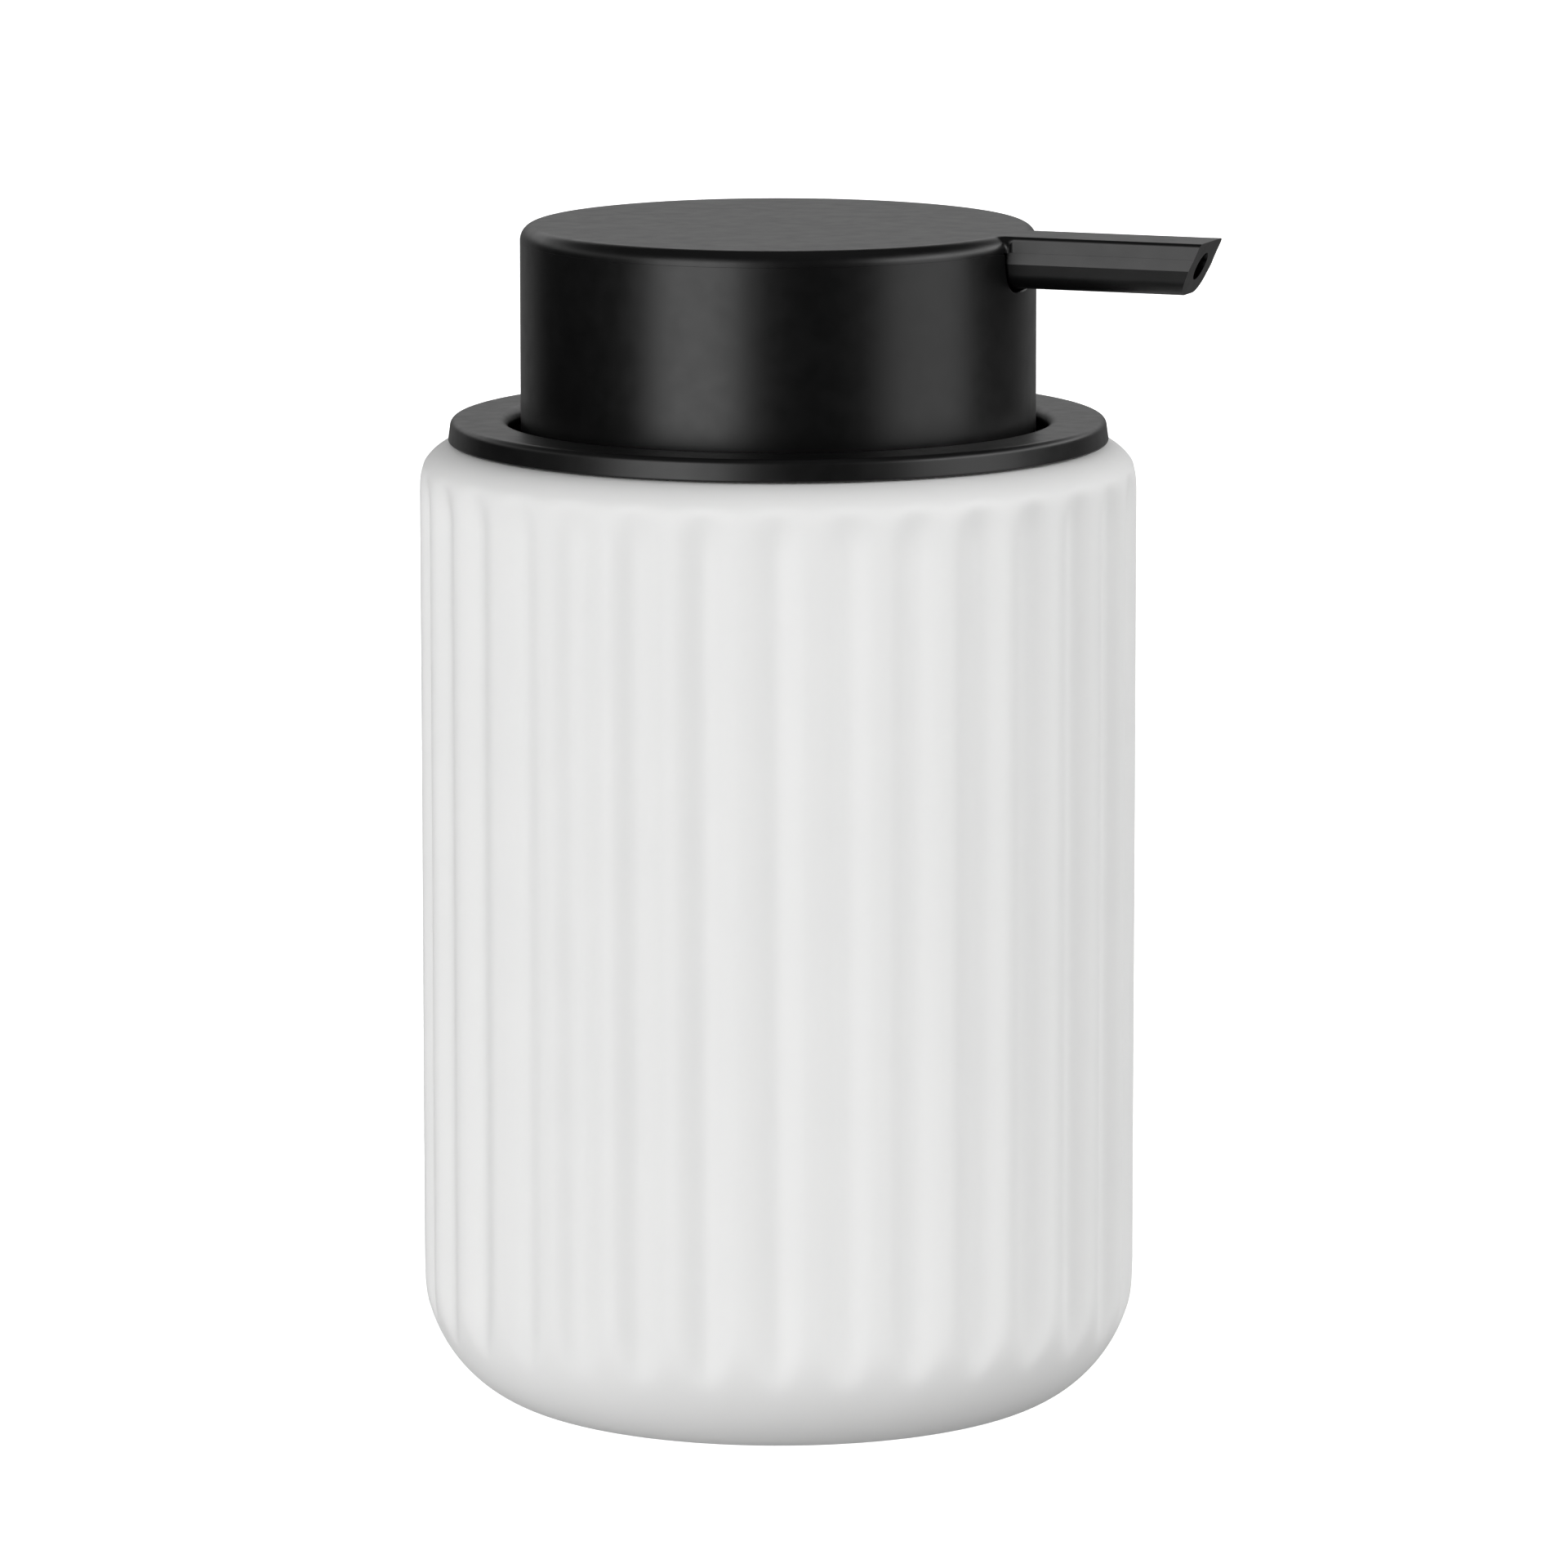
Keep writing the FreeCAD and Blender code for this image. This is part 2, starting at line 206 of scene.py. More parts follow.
outer = [(25.1, 1.3), (25.1, Z_FOOT + 0.25), (25.35, Z_FOOT), (26.5, Z_FOOT), (27.8, Z_FOOT)]
outer += [base_curve(i / 34) for i in range(35)]
outer += [(R_ENV, z) for z in (18.0, 20, 23, 27, 32, 38, 45, 52, 60, 68, 76, 83, 89, 94, 97.5, 99, 100, 101, 102)]
fs = R_ENV - R_SHOULDER
outer += [(R_SHOULDER + fs * math.cos(math.radians(a)), Z_RIM - fs + fs * math.sin(math.radians(a)))
          for a in [2.5 * j for j in range(0, 37)]]
n_outer = len(outer)
inner = rounded([(33.5, Z_RIM, 0.5), (33.5, 96.0, 1.5), (35.2, 93.0, 1.5), (35.2, 6.0, 12.0), (0.0, 6.0)],
                closed=False, step=7.0)
inner = [(33.9, Z_RIM), (33.6, Z_RIM - 0.12), (33.5, Z_RIM - 0.45)] + inner[1:]
prof = [(0.0, 1.3), (12.0, 1.3)] + outer + inner


def smooth(t):
    t = max(0.0, min(1.0, t))
    return t * t * (3 - 2 * t)


def bottle_radius(i, r, z, a):
    if i < 2 or i >= 2 + n_outer or r < 28.0:
        return r
    w = 0.5 * (1 - math.cos(FLUTES * (a - PHASE)))
    wave = R_BODY - DEPTH * w * smooth((107.7 - z) / 7.0)
    q = soft_min(wave, r, 0.55)
    # thrown and fettled ware is never quite true
    n = noise.noise(Vector((math.cos(a) * 1.3, math.sin(a) * 1.3, z * 0.022)))
    n2 = noise.noise(Vector((math.cos(a) * 5.0, math.sin(a) * 5.0, z * 0.05 + 9)))
    fade = min(1.0, max(0.0, (z - 2.0) / 8.0)) * min(1.0, max(0.0, (Z_RIM - 2.0 - z) / 6.0))
    return min(39.95, q - 0.03 + fade * (0.03 * n + 0.012 * n2))


bottle = lathe("fluted_bottle", prof, seg=FLUTES * 20, closed=False, radius=bottle_radius, sharp=32.0)
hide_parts("ceramic_body")
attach(bottle, "root")

# ---------------------------------------------------------------- collar ring
z1 = ring_hi[2]
ring = lathe("collar_ring_finished", rounded([
    (34.2, Z_RIM), (36.75, Z_RIM, 0.25), (36.4, z1, 0.75), (30.0, z1, 1.25), (30.0, Z_RIM + 1.0), (34.2, Z_RIM + 1.0)],
    step=7.5), seg=384)
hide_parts("collar_ring")
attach(ring, "pump_unit")

# ---------------------------------------------------------------- carrier with its well and threaded neck
R_NECK, R_NECK_BORE, Z_NECK = 12.4, 8.2, 103.0
cup = lathe("well_carrier", rounded([
    (R_NECK_BORE, 92.0, 0.2), (32.2, 92.0, 1.2), (32.2, Z_RIM), (34.1, Z_RIM), (34.1, Z_RIM + 1.0), (30.9, Z_RIM + 1.0),
    (30.9, 94.0, 0.6), (R_NECK, 94.0, 0.2), (R_NECK, 96.0), (13.1, 96.4), (13.1, 97.0), (R_NECK, 97.4), (R_NECK, 99.2),
    (13.1, 99.6), (13.1, 100.2), (R_NECK, 100.6), (R_NECK, Z_NECK, 0.2), (R_NECK_BORE, Z_NECK, 0.2)], step=10), seg=256)
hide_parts("well_cup")
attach(cup, "pump_unit")

# ---------------------------------------------------------------- silicone sleeve
g = [(32.2, 96.6), (32.9, 96.6, 0.15)]
for zr in (98.4, 101.8, 105.2):
    g += [(32.9, zr - 0.7), (33.45, zr - 0.25, 0.15), (33.45, zr + 0.25, 0.15), (32.9, zr + 0.7)]
g += [(32.9, 107.4, 0.15), (32.2, 107.4)]
gasket = lathe("mouth_gasket_ribbed", rounded(g, step=18, support=0.05), seg=192)
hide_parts("mouth_gasket")
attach(gasket, "pump_unit")


# ---------------------------------------------------------------- head skirt, with the notch the spout passes through
def evened(points, most):
    """The same polyline with no segment longer than most."""
    out = [points[0]]
    for a, b in zip(points, points[1:]):
        k = max(1, int(math.ceil(math.hypot(b[0] - a[0], b[1] - a[1]) / most)))
        out += [(a[0] + (b[0] - a[0]) * j / k, a[1] + (b[1] - a[1]) * j / k) for j in range(1, k + 1)]
    return out


def spout_lower(gap, step=6.0):
    """The spout's section below its crease as (y, z) from +y to -y, grown by gap."""
    wc, wb = SPOUT_W / 2 + CREASE + gap, SPOUT_W / 2 - DRAFT + gap
    zm, zb = Z_TOP - FLANK, Z_TOP - SPOUT_H - gap
    pts = rounded([(wc, zm), (wb, zb, CORNER + gap), (-wb, zb, CORNER + gap), (-wc, zm)], closed=False, step=step)
    return evened(pts, 0.45)


def skirt():
    gap, rho_notch, rho_top, seg_top, k_rows = 0.4, 0.28, 0.012, 300, 10
    r_in, r_out = 27.0, R_HEAD
    zt, zb = Z_PLATE - 0.006, Z_SLEEVE
    low = spout_lower(gap)
    # outline in (arc length on the outer face, height), once round, starting at the notch's +y top corner
    half_w = SPOUT_W / 2 + CREASE + gap
    pts, rhos = [], []
    s_total = 2 * math.pi * r_out
    corner, lead = 0.38, 0.06
    # top edge the long way round, from +y side to -y side
    for j in range(seg_top + 1):
        s = half_w + corner + (s_total - 2 * half_w - 2 * corner) * j / seg_top
        pts.append((s, zt))
        away = min(s - half_w, s_total - half_w - s) - corner
        rhos.append(rho_top + (rho_notch - rho_top) * (1 - smooth(away / 1.8)))
    # rounded corner into the notch on the -y side
    for j in range(1, 7):
        q = math.pi / 2 * j / 6
        pts.append((s_total - half_w - corner + corner * math.sin(q), zt - corner + corner * math.cos(q)))
    for y, z in reversed(low):
        pts.append((s_total + y, z))
    for j in range(0, 6):
        q = math.pi / 2 * j / 6
        pts.append((s_total + half_w + corner - corner * math.cos(q), zt - corner + corner * math.sin(q)))
    m = len(pts)
    rhos += [rho_notch] * (m - len(rhos))
    nrm = []
    for i in range(m):
        a, b = pts[i - 1], pts[(i + 1) % m]
        ax, bx = a[0], b[0]
        if i == 0:
            ax -= s_total
        if i == m - 1:
            bx += s_total
        t = Vector((bx - ax, b[1] - a[1])).normalized()
        nrm.append(Vector((t.y, -t.x)))
    base_s = [pts[0][0] + s_total * i / m for i in range(m)]
    # gather the bottom row's points so that they run evenly under the notch
    base_s = [0.35 * bs + 0.65 * p[0] for bs, p in zip(base_s, pts)]

    def on(s, z, r):
        a = s / r_out
        return (r * math.cos(a), r * math.sin(a), z)

    rows = []
    for r, z in ((r_in, zb + 0.3), (r_in + 0.3, zb), (r_out - 0.45, zb)):
        rows.append([on(base_s[i], z, r) for i in range(m)])
    for j in range(1, 6):
        q = math.pi / 2 * j / 5
        rows.append([on(base_s[i], zb + 0.4 - 0.4 * math.cos(q), r_out - 0.4 + 0.4 * math.sin(q)) for i in range(m)])
    top_in = [(pts[i][0] + nrm[i].x * (rhos[i] + lead), pts[i][1] + nrm[i].y * (rhos[i] + lead)) for i in range(m)]
    for j in range(1, k_rows + 1):
        f = j / k_rows
        rows.append([on(base_s[i] * (1 - f) + top_in[i][0] * f, (zb + 0.4) * (1 - f) + top_in[i][1] * f, r_out) for i in range(m)])
    for j in range(0, 9):
        q = math.pi / 2 * j / 8
        rows.append([on(pts[i][0] + nrm[i].x * rhos[i] * (1 - math.sin(q)), pts[i][1] + nrm[i].y * rhos[i] * (1 - math.sin(q)),
                        r_out - rhos[i] * (1 - math.cos(q))) for i in range(m)])
    rows.append([on(pts[i][0], pts[i][1], r_out - rhos[i] - 0.1) for i in range(m)])
    rows.append([on(pts[i][0], pts[i][1], r_in + 0.1) for i in range(m)])
    rows.append([on(pts[i][0] + nrm[i].x * 0.1, pts[i][1] + nrm[i].y * 0.1, r_in) for i in range(m)])
    for j in range(1, k_rows):
        f = j / k_rows
        rows.append([on(top_in[i][0] * (1 - f) + base_s[i] * f, top_in[i][1] * (1 - f) + (zb + 0.3) * f, r_in) for i in range(m)])
    verts = [v for row in rows for v in row]
    faces = []
    for a in range(len(rows)):
        b = (a + 1) % len(rows)
        for i in range(m):
            k = (i + 1) % m
            faces.append((a * m + i, a * m + k, b * m + k, b * m + i))
    return new_object("head_skirt", verts, faces, 30.0)


sleeve = skirt()
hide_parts("head_sleeve")
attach(sleeve, "head")


# ---------------------------------------------------------------- head top and spout
def head_top():
    over = 56.0
    # plan outline, anticlockwise: circle, concave fillet, spout's flanks and square end
    w = SPOUT_W / 2 - 0.08
    fil = 0.8
    cx = math.sqrt((R_HEAD + fil) ** 2 - (w + fil) ** 2)
    a0 = math.atan2(w + fil, cx)          # where the circle hands over to the fillet
    plan = []
    n = 340
    for j in range(n + 1):
        a = a0 + (2 * math.pi - 2 * a0) * j / n
        plan.append((R_HEAD * math.cos(a), R_HEAD * math.sin(a), HEAD_ROUND, "c"))
    b0 = math.pi - (math.pi / 2 - a0)      # fillet arc about (cx, -(w + fil))
    start = math.atan2(R_HEAD * math.sin(-a0) + (w + fil), R_HEAD * math.cos(a0) - cx)
    if start < 0:
        start += 2 * math.pi
    end = math.pi / 2
    turns = 16
    for j in range(1, turns + 1):
        q = start + (end - start) * j / turns
        f = smooth(j / turns)
        plan.append((cx + fil * math.cos(q), -(w + fil) + fil * math.sin(q), HEAD_ROUND + (SPOUT_ROUND - HEAD_ROUND) * f, "f"))
    for x in (cx + 0.6, cx + 3, over):
        plan.append((x, -w, SPOUT_ROUND, "s"))
    for x in (over, cx + 3, cx + 0.6):
        plan.append((x, w, SPOUT_ROUND, "s"))
    for j in range(turns, 0, -1):
        q = start + (end - start) * j / turns
        f = smooth(j / turns)
        plan.append((cx + fil * math.cos(q), (w + fil) - fil * math.sin(q), HEAD_ROUND + (SPOUT_ROUND - HEAD_ROUND) * f, "f"))
    m = len(plan)
    nrm = []
    for i in range(m):
        x, y, rho, kind = plan[i]
        if kind == "c":
            nrm.append(Vector((-x, -y)).normalized())
        elif kind == "f":
            c = Vector((cx, -(w + fil) if y < 0 else (w + fil)))
            nrm.append((Vector((x, y)) - c).normalized() * -1)
            nrm[-1] = -nrm[-1] if nrm[-1].dot(Vector((-1, -0.2 if y > 0 else 0.2))) < 0 else nrm[-1]
        else:
            nrm.append(Vector((0, 1 if y < 0 else -1)))
    rows = []
    zb = Z_PLATE
    rows.append([(plan[i][0] + nrm[i].x * 0.012, plan[i][1] + nrm[i].y * 0.012, zb) for i in range(m)])
    rows.append([(plan[i][0], plan[i][1], zb + 0.012) for i in range(m)])
    steps = 16
    for j in range(steps + 1):
        q = math.pi / 2 * j / steps
        rows.append([(plan[i][0] + nrm[i].x * plan[i][2] * (1 - math.cos(q)), plan[i][1] + nrm[i].y * plan[i][2] * (1 - math.cos(q)),
                      Z_TOP - plan[i][2] * (1 - math.sin(q))) for i in range(m)])
    rows.append([(plan[i][0] + nrm[i].x * (plan[i][2] + 0.15), plan[i][1] + nrm[i].y * (plan[i][2] + 0.15), Z_TOP) for i in range(m)])
    verts = [v for row in rows for v in row]
    faces = []
    for a in range(len(rows) - 1):
        for i in range(m):
            k = (i + 1) % m
            faces.append((a * m + i, a * m + k, (a + 1) * m + k, (a + 1) * m + i))
    faces.append(tuple(range(m - 1, -1, -1)))
    faces.append(tuple((len(rows) - 1) * m + i for i in range(m)))
    slab = new_object("head_cap_and_spout", verts, faces)
    # lower bar, which runs in to the stem's hub
    low = spout_lower(-0.004, 5.0)
    zt = Z_TOP - 0.65
    sect = [(w - 0.02, zt), (w - 0.01, zb - 0.2)] + low + [(-w + 0.01, zb - 0.2), (-w + 0.02, zt)]
    k = len(sect)
    verts = [(x, y, z) for x in (-6.5, over - 0.01) for y, z in sect]
    faces = [(i, (i + 1) % k, k + (i + 1) % k, k + i) for i in range(k)] + [tuple(range(k - 1, -1, -1)), tuple(range(k, 2 * k))]
    bar = new_object("bar", verts, faces)
    boolean(slab, bar, "UNION")
    # oblique end
    tip = REACH
    slope = CUT / SPOUT_H
    quad = [(tip + slope * 6, Z_TOP + 6), (tip + 20, Z_TOP + 6), (tip + 20, Z_TOP - 14), (tip - slope * 14, Z_TOP - 14)]
    verts = [(x, y, z) for y in (-9, 9) for x, z in quad]
    faces = [(0, 1, 2, 3), (7, 6, 5, 4), (0, 4, 5, 1), (1, 5, 6, 2), (2, 6, 7, 3), (3, 7, 4, 0)]
    cutter = new_object("cutter", verts, faces)
    boolean(slab, cutter, "DIFFERENCE")
    bm = bmesh.new()
    bm.from_mesh(slab.data)
    bmesh.ops.remove_doubles(bm, verts=bm.verts, dist=2e-6)
    bm.to_mesh(slab.data)
    bm.free()
    # soap channel and its inlet from the stem
    zc = Z_TOP - BORE_DROP
    for r, p0, p1 in ((BORE, (-1.0, 0, zc), (REACH + 8, 0, zc)), (1.9, (0, 0, Z_TOP - SPOUT_H - 1), (0, 0, zc))):
        d = Vector(p1) - Vector(p0)
        bm = bmesh.new()
        bmesh.ops.create_cone(bm, cap_ends=True, segments=48, radius1=r * MM, radius2=r * MM, depth=d.length * MM)
        me = bpy.data.meshes.new("tool")
        bm.to_mesh(me)
        bm.free()
        tool = bpy.data.objects.new("tool", me)
        bpy.context.scene.collection.objects.link(tool)
        me.transform(Matrix.Translation((Vector(p0) + d / 2) * MM) @ d.to_track_quat("Z", "Y").to_matrix().to_4x4())
        boolean(slab, tool, "DIFFERENCE")
    shade(slab, 9.0)
    return slab


cap = head_top()
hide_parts("head_top")
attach(cap, "head")


# ---------------------------------------------------------------- return spring, with closed end coils
def return_spring():
    lo, hi = node_mm("return_spring")
    wire_r, coil_r, dead, active = 0.5, 4.7, 1.1, 6.6
    z0, z1 = lo[2] + wire_r, hi[2] - wire_r
    step, around = 48, 14
    n = int((2 * dead + active) * step)
    pitch = (z1 - z0 - 2 * dead * 1.01) / active
    heights = []
    z = z0
    for i in range(n + 1):
        heights.append(z)
        t = i / step
        open_ = smooth((t - dead + 0.25) / 0.5) * smooth((2 * dead + active - t - dead + 0.25) / 0.5)
        z += (1.01 + (pitch - 1.01) * open_) / step
    k = (z1 - z0) / (heights[-1] - z0)
    verts, faces = [], []
    for i, h in enumerate(heights):
        a = 2 * math.pi * i / step
        zc = z0 + (h - z0) * k
        for j in range(around):
            b = 2 * math.pi * j / around
            r = coil_r + wire_r * math.cos(b)
            verts.append((r * math.cos(a), r * math.sin(a), zc + wire_r * math.sin(b)))
    for i in range(n):
        for j in range(around):
            j2 = (j + 1) % around
            faces.append((i * around + j, i * around + j2, (i + 1) * around + j2, (i + 1) * around + j))
    faces += [tuple(range(around - 1, -1, -1)), tuple(n * around + j for j in range(around))]
    return new_object("return_spring_coil", verts, faces, 40.0), (lo[2], hi[2])


spring, (spring_foot, spring_head) = return_spring()
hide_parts("return_spring")
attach(spring, "pump_unit")
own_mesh(spring)


# ---------------------------------------------------------------- materials
def link(nt, a, b):
    nt.links.new(a, b)


def material(name, base, dark, rough, spec=0.5, col_scale=8.0, col_amount=0.5, rough_var=0.05, bumps=(), metallic=0.0,
             transmission=0.0, subsurface=0.0, coat=0.0, sheen=0.0, stretch=(1, 1, 1), ior=1.45):
    """base and dark are mixed by noise; rough varies by noise; bumps is a list of (kind, scale per metre, distance in mm)."""
    m = bpy.data.materials.new(name)
    m.use_nodes = True
    nt = m.node_tree
    bs = next(n for n in nt.nodes if n.type == "BSDF_PRINCIPLED")
    tc = nt.nodes.new("ShaderNodeTexCoord")
    mp = nt.nodes.new("ShaderNodeMapping")
    mp.inputs["Scale"].default_value = stretch
    link(nt, tc.outputs["Object"], mp.inputs["Vector"])
    n1 = nt.nodes.new("ShaderNodeTexNoise")
    n1.inputs["Scale"].default_value = col_scale
    n1.inputs["Detail"].default_value = 6.0
    n1.inputs["Roughness"].default_value = 0.6
    link(nt, mp.outputs["Vector"], n1.inputs["Vector"])
    cr = nt.nodes.new("ShaderNodeValToRGB")
    cr.color_ramp.elements[0].position = 0.5 - 0.5 * col_amount
    cr.color_ramp.elements[1].position = 0.5 + 0.5 * col_amount
    cr.color_ramp.elements[0].color = (*dark, 1)
    cr.color_ramp.elements[1].color = (*base, 1)
    link(nt, n1.outputs["Fac"], cr.inputs["Fac"])
    link(nt, cr.outputs["Color"], bs.inputs["Base Color"])
    n2 = nt.nodes.new("ShaderNodeTexNoise")
    n2.inputs["Scale"].default_value = col_scale * 6
    n2.inputs["Detail"].default_value = 4.0
    link(nt, mp.outputs["Vector"], n2.inputs["Vector"])
    mr = nt.nodes.new("ShaderNodeMapRange")
    mr.inputs["From Min"].default_value = 0.3
    mr.inputs["From Max"].default_value = 0.7
    mr.inputs["To Min"].default_value = rough - rough_var
    mr.inputs["To Max"].default_value = rough + rough_var
    link(nt, n2.outputs["Fac"], mr.inputs["Value"])
    link(nt, mr.outputs["Result"], bs.inputs["Roughness"])
    bs.inputs["Metallic"].default_value = metallic
    bs.inputs["Specular IOR Level"].default_value = spec
    bs.inputs["IOR"].default_value = ior
    bs.inputs["Transmission Weight"].default_value = transmission
    bs.inputs["Coat Weight"].default_value = coat
    bs.inputs["Coat Roughness"].default_value = 0.25
    if subsurface > 0:
        bs.inputs["Subsurface Weight"].default_value = subsurface
        bs.inputs["Subsurface Radius"].default_value = (0.0012, 0.001, 0.0009)
        bs.inputs["Subsurface Scale"].default_value = 1.0
    last = None
    for kind, scale, dist in bumps:
        if kind == "voronoi":
            t = nt.nodes.new("ShaderNodeTexVoronoi")
            out = t.outputs["Distance"]
        else:
            t = nt.nodes.new("ShaderNodeTexNoise")
            t.inputs["Detail"].default_value = 5.0
            out = t.outputs["Fac"]
        t.inputs["Scale"].default_value = scale
        link(nt, mp.outputs["Vector"], t.inputs["Vector"])
        b = nt.nodes.new("ShaderNodeBump")
        b.inputs["Strength"].default_value = 1.0
        b.inputs["Distance"].default_value = dist * MM
        link(nt, out, b.inputs["Height"])
        if last:
            link(nt, last.outputs["Normal"], b.inputs["Normal"])
        last = b
    if last:
        link(nt, last.outputs["Normal"], bs.inputs["Normal"])
    return m


ceramic = material("matt_white_glaze", (0.856, 0.856, 0.851), (0.829, 0.831, 0.827), 0.52, spec=0.35, col_scale=55, col_amount=0.7,
                   rough_var=0.06, bumps=(("noise", 90, 0.04), ("noise", 900, 0.004), ("noise", 4200, 0.0018)))
black_top = material("satin_black_head", (0.0032, 0.0032, 0.0033), (0.0023, 0.0023, 0.0024), 0.33, spec=0.375, col_scale=70,
                     col_amount=0.6, rough_var=0.03, bumps=(("noise", 5000, 0.0006), ("noise", 130, 0.0006)))
black_ring = material("satin_black_collar", (0.0033, 0.0033, 0.0034), (0.0023, 0.0023, 0.0024), 0.34, spec=0.375, col_scale=75,
                      col_amount=0.6, rough_var=0.03, bumps=(("noise", 5000, 0.0006), ("noise", 140, 0.0006)))
black_mould = material("moulded_black", (0.010, 0.010, 0.010), (0.006, 0.006, 0.0062), 0.48, spec=0.45, col_scale=120,
                       col_amount=0.6, rough_var=0.06, bumps=(("noise", 3500, 0.003), ("noise", 300, 0.006)))
natural = material("natural_polypropylene", (0.80, 0.80, 0.77), (0.72, 0.72, 0.69), 0.36, spec=0.5, col_scale=90, col_amount=0.7,
                   rough_var=0.06, bumps=(("noise", 2500, 0.006), ("noise", 260, 0.02)), subsurface=0.25)
piston_mat = material("soft_piston_plastic", (0.74, 0.77, 0.80), (0.66, 0.69, 0.72), 0.42, spec=0.45, col_scale=150, col_amount=0.7,
                      rough_var=0.06, bumps=(("noise", 2500, 0.006),), subsurface=0.2)
silicone = material("grey_silicone", (0.34, 0.35, 0.355), (0.27, 0.275, 0.28), 0.58, spec=0.4, col_scale=140, col_amount=0.7,
                    rough_var=0.07, bumps=(("noise", 3000, 0.010), ("noise", 400, 0.02)))
pad_mat = material("pad_rubber", (0.050, 0.050, 0.050), (0.030, 0.030, 0.031), 0.72, spec=0.3, col_scale=200, col_amount=0.8,
                   rough_var=0.08, bumps=(("voronoi", 1800, 0.03), ("noise", 6000, 0.01)))
wire = material("drawn_spring_wire", (0.60, 0.60, 0.60), (0.42, 0.42, 0.43), 0.28, spec=0.5, col_scale=300, col_amount=0.8,
                rough_var=0.08, bumps=(("noise", 5000, 0.004),), metallic=1.0, stretch=(1, 1, 4))
ball_mat = material("polished_ball", (0.74, 0.74, 0.75), (0.62, 0.62, 0.63), 0.12, spec=0.5, col_scale=300, col_amount=0.8,
                    rough_var=0.05, bumps=(("noise", 3000, 0.001),), metallic=1.0)

for ob, m in ((bottle, ceramic), (ring, black_ring), (cup, black_mould), (gasket, silicone), (sleeve, black_top), (cap, black_top),
              (spring, wire)):
    ob.data.materials.clear()
    ob.data.materials.append(m)

FINISH = {
    "base_pad": pad_mat, "closure_nut": black_mould, "housing_gasket": silicone, "pump_housing": natural, "dip_tube": natural,
    "valve_cage": natural, "chaplet": natural, "stem_seal": silicone, "piston_rod": natural,
    "piston_seal": piston_mat, "head_core": black_mould, "stem": black_mould, "upper_ball": ball_mat, "lower_ball": ball_mat,
}
for name, m in FINISH.items():
    ob = NODES[name]
    if not ob.material_slots:
        ob.data.materials.append(m)
    for s in ob.material_slots:
        s.material = m

# ---------------------------------------------------------------- stage, light, camera
CAM_AZ = 21.0

# a hair below the foot, so that the pad and the floor don't share a plane
bpy.ops.mesh.primitive_plane_add(size=9.0, location=(0, 0, -0.0001))
floor = bpy.context.object
floor.name = "floor"
fm = bpy.data.materials.new("pale_floor")
fm.use_nodes = True
fb = next(n for n in fm.node_tree.nodes if n.type == "BSDF_PRINCIPLED")
fb.inputs["Base Color"].default_value = (0.90, 0.90, 0.90, 1)
fb.inputs["Roughness"].default_value = 0.9
fb.inputs["Specular IOR Level"].default_value = 0.0
fb.inputs["Emission Color"].default_value = (1, 1, 1, 1)
fb.inputs["Emission Strength"].default_value = 1.02
floor.data.materials.append(fm)
# the floor is only looked at: the light that would come off it is the low part of the studio below
floor.visible_glossy = False
floor.visible_diffuse = False
floor.visible_transmission = False
floor.visible_shadow = False

# pale walls behind the floor, seen by the camera only, as the floor is
me = bpy.data.meshes.new("walls")
bm = bmesh.new()
bmesh.ops.create_uvsphere(bm, u_segments=64, v_segments=32, radius=4.4)
bmesh.ops.delete(bm, geom=[v for v in bm.verts if v.co.z < -0.01], context="VERTS")
bm.to_mesh(me)
bm.free()
walls = bpy.data.objects.new("walls", me)
bpy.context.scene.collection.objects.link(walls)
me.materials.append(fm)
walls.visible_glossy = False
walls.visible_diffuse = False
walls.visible_transmission = False
walls.visible_shadow = False

# A soft studio all round the object: each patch is (centre, half width, softness) in azimuth, from the side the
# dispenser faces and positive to its right, then (low, high, softness) in height, in degrees, and its brightness.
STUDIO = (
    ("front", 15.5, 32.5, 7, -28, 14, 9, 0),
    ("key", -37, 20, 5, -28, 14, 9, 3.852),
    ("left", -96, 39, 6, -28, 14, 9, 0),
    ("back", 180, 45, 6, -28, 14, 9, 0.225),
    ("right", 113.5, 21.5, 6, -28, 14, 9, 0.086),
    ("fill", 70, 22, 6, -28, 14, 9, 1.863),
    ("front_up", 15.5, 32.5, 7, 14, 60, 9, 0.05),
    ("key_up", -37, 20, 5, 14, 44, 9, 1.169),
    ("left_up", -96, 39, 6, 14, 60, 9, 0.067),
    ("back_up", 180, 45, 6, 14, 60, 9, 0.03),
    ("right_up", 113.5, 21.5, 6, 14, 60, 9, 0.02),
    ("fill_up", 70, 22, 6, 14, 40, 9, 1.739),
    ("zenith", 0, 360, 1, 60, 100, 9, 0.15),
    ("front_down", 15.5, 32.5, 7, -65, -28, 9, 0),
    ("key_down", -37, 20, 5, -65, -28, 9, 0),
    ("left_down", -96, 39, 6, -65, -28, 9, 0.78),
    ("back_down", 180, 45, 6, -65, -28, 9, 0.25),
    ("right_down", 91, 44, 6, -65, -28, 9, 0.06),
    ("nadir", 0, 360, 1, -100, -65, 9, 0.02),
    ("key_rim", -37, 20, 5, 14, 28, 7, 3.463),
    ("left_rim", -96, 39, 6, 14, 28, 7, 0.727),
    ("back_rim", 180, 45, 6, 14, 28, 7, 1.095),
    ("right_rim", 113.5, 21.5, 6, 14, 28, 7, 3.6),
    ("fill_rim", 70, 22, 6, 14, 28, 7, 4.5),
)

world = bpy.context.scene.world or bpy.data.worlds.new("world")
bpy.context.scene.world = world
world.use_nodes = True
wt = world.node_tree


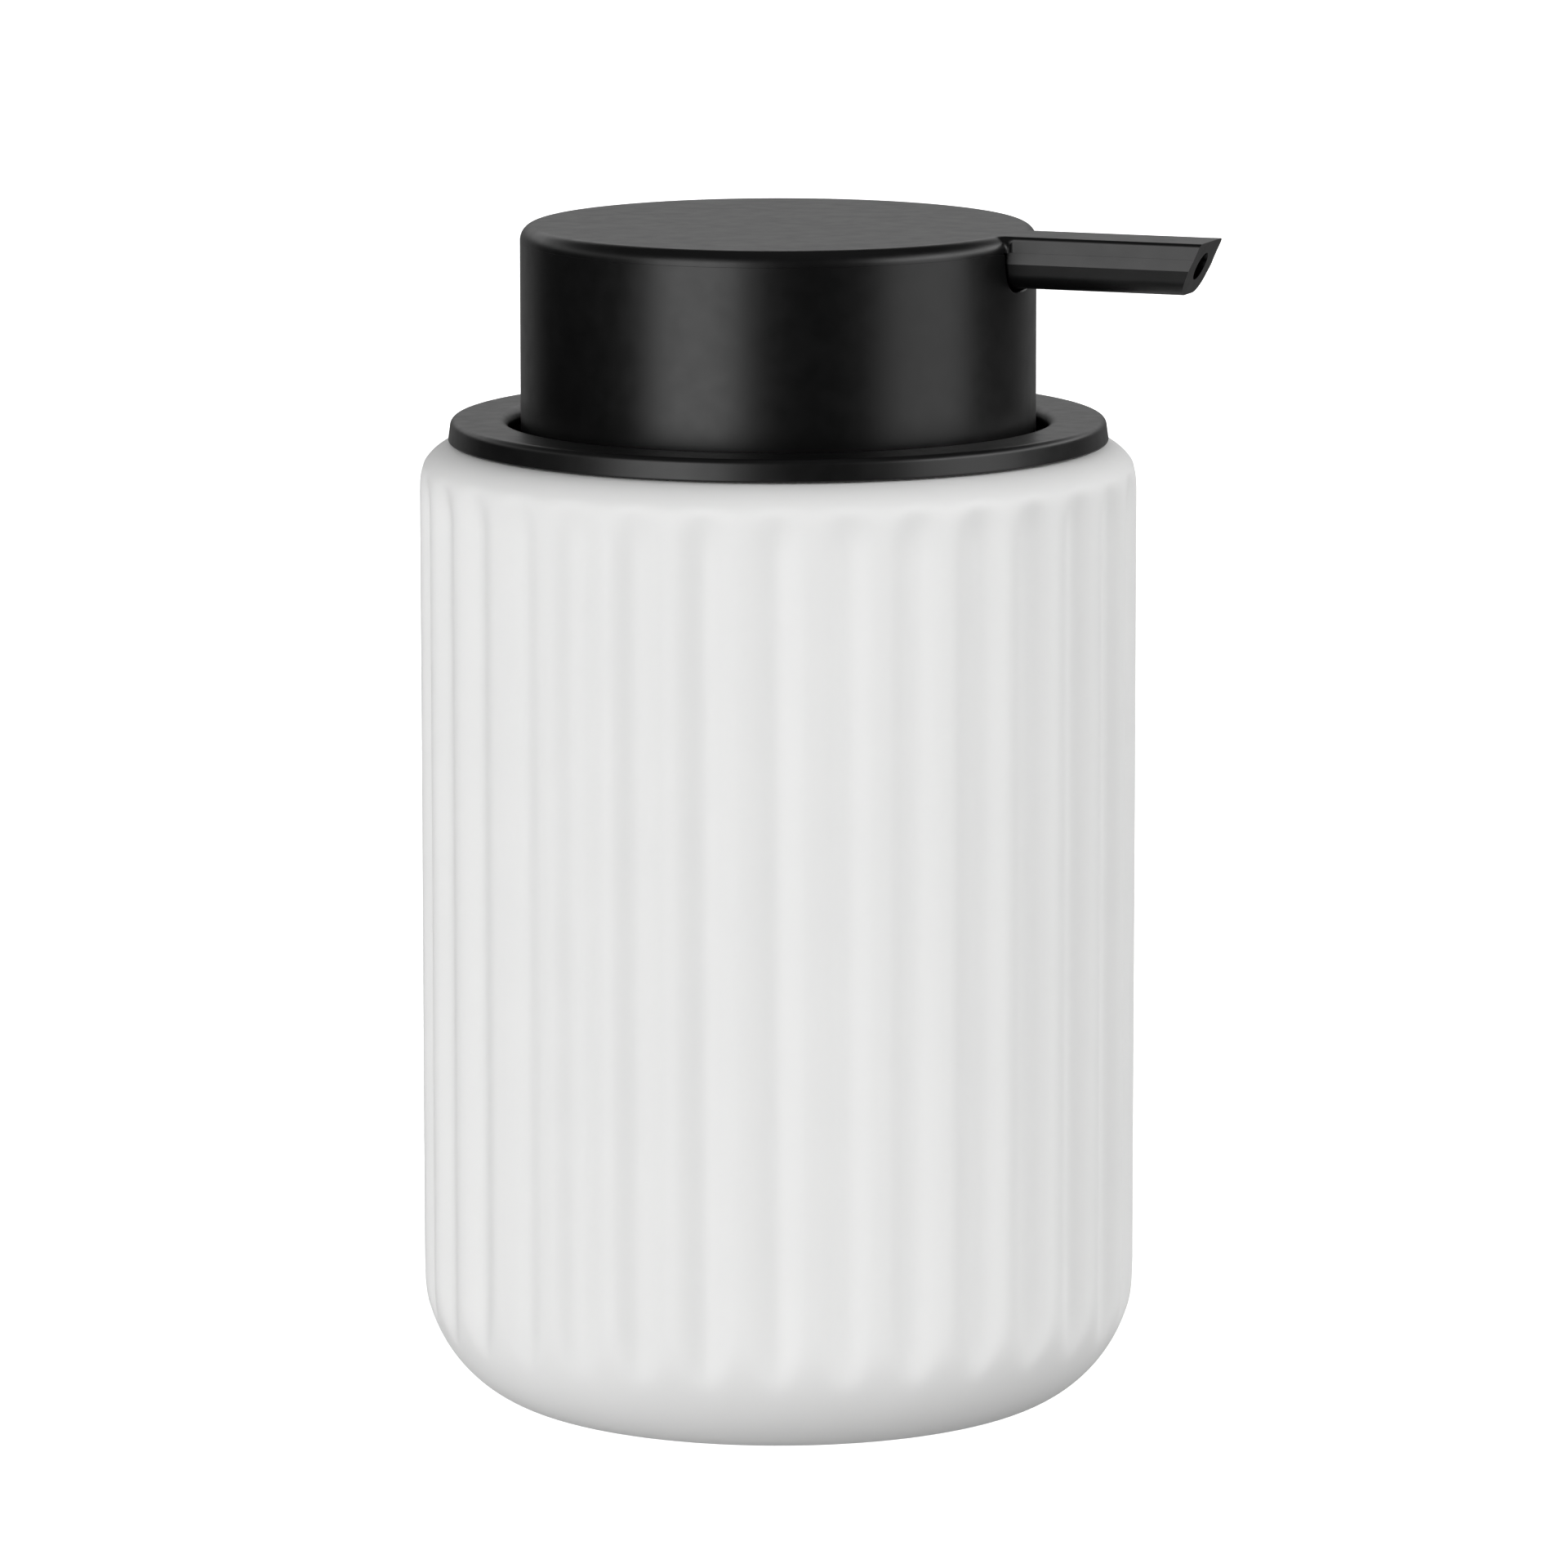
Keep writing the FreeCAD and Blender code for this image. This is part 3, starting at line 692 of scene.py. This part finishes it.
def wmath(op, a, b=None, c=None):
    n = wt.nodes.new("ShaderNodeMath")
    n.operation = op
    for k, v in enumerate((a, b, c)):
        if v is None:
            continue
        if hasattr(v, "links"):
            wt.links.new(v, n.inputs[k])
        else:
            n.inputs[k].default_value = v
    return n.outputs[0]


def wstep(value, edge, soft, rising):
    n = wt.nodes.new("ShaderNodeMapRange")
    n.interpolation_type = "SMOOTHSTEP"
    wt.links.new(value, n.inputs["Value"])
    n.inputs["From Min"].default_value = math.radians(edge - soft)
    n.inputs["From Max"].default_value = math.radians(edge + soft)
    n.inputs["To Min"].default_value = 0.0 if rising else 1.0
    n.inputs["To Max"].default_value = 1.0 if rising else 0.0
    return n.outputs["Result"]


wc = wt.nodes.new("ShaderNodeTexCoord")
ws = wt.nodes.new("ShaderNodeSeparateXYZ")
wt.links.new(wc.outputs["Generated"], ws.inputs[0])
facing = math.radians(CAM_AZ - 90.0)
azimuth = wmath("SUBTRACT", wmath("ARCTAN2", ws.outputs[1], ws.outputs[0]), facing)
height = wmath("ARCSINE", ws.outputs[2])
total = None
PATCH_GAIN = {}
for name, mid, half, soft, low, high, vsoft, power in STUDIO:
    v = wmath("MULTIPLY", wstep(height, low, vsoft, True), wstep(height, high, vsoft, False))
    if half < 180:
        off = wmath("ABSOLUTE", wmath("WRAP", wmath("SUBTRACT", azimuth, math.radians(mid)), math.pi, -math.pi))
        v = wmath("MULTIPLY", v, wstep(off, half, soft, False))
    v = wmath("MULTIPLY", v, power)
    PATCH_GAIN[name] = v.node.inputs[1]
    total = v if total is None else wmath("ADD", total, v)
bg = next(n for n in wt.nodes if n.type == "BACKGROUND")
bg.inputs["Color"].default_value = (1.0, 1.0, 1.0, 1)
wt.links.new(total, bg.inputs["Strength"])

cd = bpy.data.cameras.new("camera")
cam = bpy.data.objects.new("camera", cd)
bpy.context.scene.collection.objects.link(cam)
cd.sensor_width = 36.0
cd.lens = 12203.0 / 1920.0 * 36.0
cd.clip_start = 0.05
cd.clip_end = 20.0
az = math.radians(CAM_AZ)
cam.location = (math.sin(az) * 1.1, -math.cos(az) * 1.1, 0.2508)
cam.rotation_euler = (math.radians(90 - 9.367), math.radians(0.04), az - math.radians(0.038))
bpy.context.scene.camera = cam
bpy.context.scene.view_settings.view_transform = "Standard"
bpy.context.scene.view_settings.look = "None"
